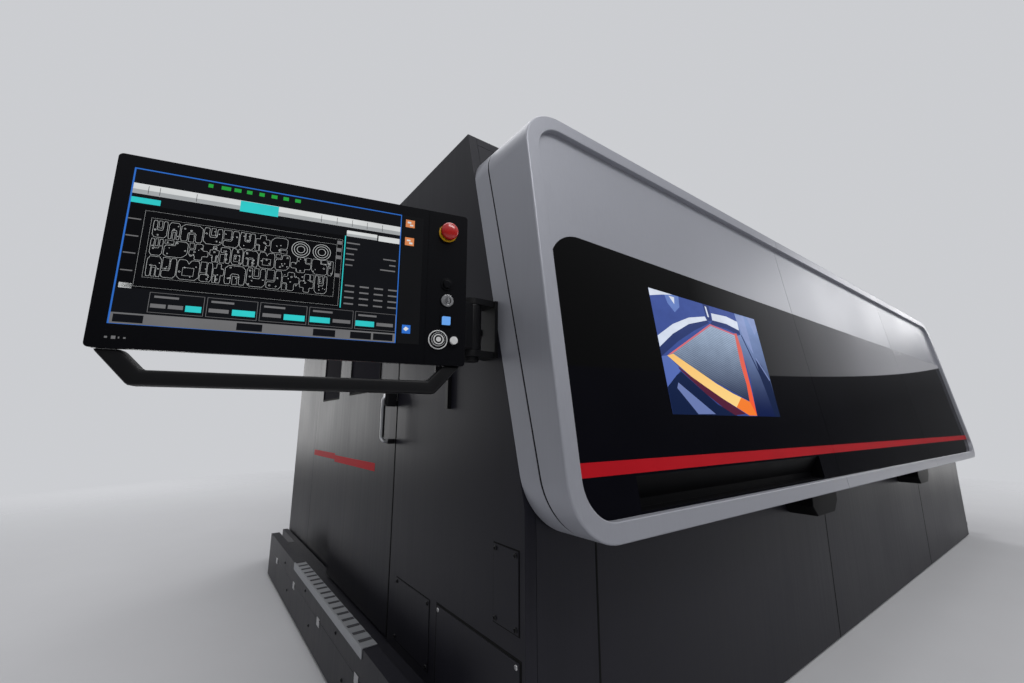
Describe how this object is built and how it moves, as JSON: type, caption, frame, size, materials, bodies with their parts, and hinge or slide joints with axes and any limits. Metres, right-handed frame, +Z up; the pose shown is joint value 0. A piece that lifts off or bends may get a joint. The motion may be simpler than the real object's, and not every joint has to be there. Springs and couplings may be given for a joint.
{
  "type": "fiber laser cutting machine",
  "caption": "Enclosed laser sheet cutter with a leaning silver ring front, lift-up and sliding doors, swing-arm console, pallet bed and moving cutting gantry.",
  "frame": {"origin": "on the floor, under the middle of the cabin's footprint, on the middle levelling pad's lower face", "axes": "+X along the front to the right, +Y from the front into the machine, +Z up"},
  "size_m": [7.0221, 3.7725, 2.278],
  "materials": {
    "charcoal_paint": "satin powder coat",
    "silver_paint": "satin silver paint",
    "gloss_black": "gloss",
    "red_stripe": "satin",
    "rubber_black": "matt",
    "black_metal": "fine satin",
    "console_black": "fine satin",
    "screen": "lit display",
    "dark_pane": "dark tinted",
    "machined_steel": "ground",
    "frame_grey": "semi matt",
    "pallet_orange": "semi matt",
    "slat_steel": "scaled",
    "tread_grey": "ribbed",
    "copper": "turned",
    "signal_red": "moulded",
    "button_white": "moulded",
    "button_blue": "lit"
  },
  "bodies": {
    "machine": {"base_frame": "frame_grey", "scrap_tray": "frame_grey", "door_track": "frame_grey", "shutter_guides": "frame_grey", "levelling_pads": "machined_steel", "x_guides": "machined_steel", "hinge_plates": "machined_steel", "pallet_frame": "pallet_orange", "pallet_slats": "slat_steel", "mounting_frame": "silver_paint", "bezel_fixed": "silver_paint", "fascia_fixed": "silver_paint", "front_skirt": "charcoal_paint", "front_wall": "charcoal_paint", "left_front_panel": "charcoal_paint", "left_rear_panel": "charcoal_paint", "left_header": "charcoal_paint", "service_covers": "charcoal_paint", "step": "charcoal_paint", "roof": "charcoal_paint", "back_wall": "charcoal_paint", "right_end_wall": "charcoal_paint", "ring_seal": "rubber_black", "bracket_blocks": "black_metal", "arm_bracket": "black_metal", "gloss_panel_fixed": "gloss_black", "stripe_fixed": "red_stripe", "rear_window": "dark_pane", "step_tread": "tread_grey"},
    "lift_door": {"bezel_door": "silver_paint", "fascia_door": "silver_paint", "gloss_panel_door": "gloss_black", "stripe_door": "red_stripe", "grip_pocket": "charcoal_paint", "monitor_housing": "black_metal", "monitor_screen": "screen", "hinge_leaves": "machined_steel"},
    "sliding_door": {"operator_door": "charcoal_paint", "door_window": "dark_pane", "door_handle": "machined_steel", "door_hangers": "frame_grey"},
    "pallet_gate": {"shutter": "silver_paint"},
    "bridge": {"gantry": "silver_paint", "y_guides": "machined_steel"},
    "cross_slide": {"head_carriage": "frame_grey"},
    "head": {"head_slide": "machined_steel", "cutting_head": "machined_steel", "nozzle": "copper"},
    "arm": {"console_arm": "black_metal"},
    "console": {"console_shell": "console_black", "console_front": "console_black", "console_display": "screen", "console_handle": "black_metal", "button_collars": "console_black"},
    "stop_head": {"estop": "signal_red"},
    "dark_key": {"dark_button": "console_black"},
    "key_barrel": {"key_switch": "machined_steel"},
    "blue_key": {"square_button": "button_blue"},
    "start_key": {"start_button": "button_white"},
    "white_key": {"white_button": "button_white"}
  },
  "joints": [
    {"name": "lift_door_hinge", "type": "hinge", "parent": "machine", "child": "lift_door", "pos_m": [-1.95, -1.36967, 2.207], "axis": [-1, 0, 0], "range_deg": [0, 75]},
    {"name": "sliding_door_travel", "type": "slide", "parent": "machine", "child": "sliding_door", "axis": [0, 1, 0], "range_m": [0, 0.95]},
    {"name": "pallet_gate_lift", "type": "slide", "parent": "machine", "child": "pallet_gate", "axis": [0, 0, 1], "range_m": [0, 0.42]},
    {"name": "bridge_x", "type": "slide", "parent": "machine", "child": "bridge", "axis": [1, 0, 0], "range_m": [-2.85, 0.15]},
    {"name": "cross_slide_y", "type": "slide", "parent": "bridge", "child": "cross_slide", "axis": [0, 1, 0], "range_m": [-0.75, 0.75]},
    {"name": "head_z", "type": "slide", "parent": "cross_slide", "child": "head", "axis": [0, 0, 1], "range_m": [-0.15, 0]},
    {"name": "arm_swing", "type": "hinge", "parent": "machine", "child": "arm", "pos_m": [-2.98, -1.4395, 1.422], "axis": [0, 0, 1], "range_deg": [-40, 10]},
    {"name": "console_swivel", "type": "hinge", "parent": "arm", "child": "console", "pos_m": [-3.39817, -1.58295, 1.422], "axis": [0, 0, 1], "range_deg": [-30, 30]},
    {"name": "stop_press", "type": "slide", "parent": "console", "child": "stop_head", "axis": [0.2436, 0.9699, 0], "range_m": [0, 0.004], "stiffness_N_per_m": 400},
    {"name": "dark_press", "type": "slide", "parent": "console", "child": "dark_key", "axis": [0.2436, 0.9699, 0], "range_m": [0, 0.004], "stiffness_N_per_m": 400},
    {"name": "key_turn", "type": "hinge", "parent": "console", "child": "key_barrel", "pos_m": [-3.24656, -1.77569, 1.389], "axis": [0.2436, 0.9699, 0], "range_deg": [0, 90]},
    {"name": "blue_press", "type": "slide", "parent": "console", "child": "blue_key", "axis": [0.2436, 0.9699, 0], "range_m": [0, 0.004], "stiffness_N_per_m": 400},
    {"name": "start_press", "type": "slide", "parent": "console", "child": "start_key", "axis": [0.2436, 0.9699, 0], "range_m": [0, 0.004], "stiffness_N_per_m": 400},
    {"name": "white_press", "type": "slide", "parent": "console", "child": "white_key", "axis": [0.2436, 0.9699, 0], "range_m": [0, 0.004], "stiffness_N_per_m": 400}
  ]
}
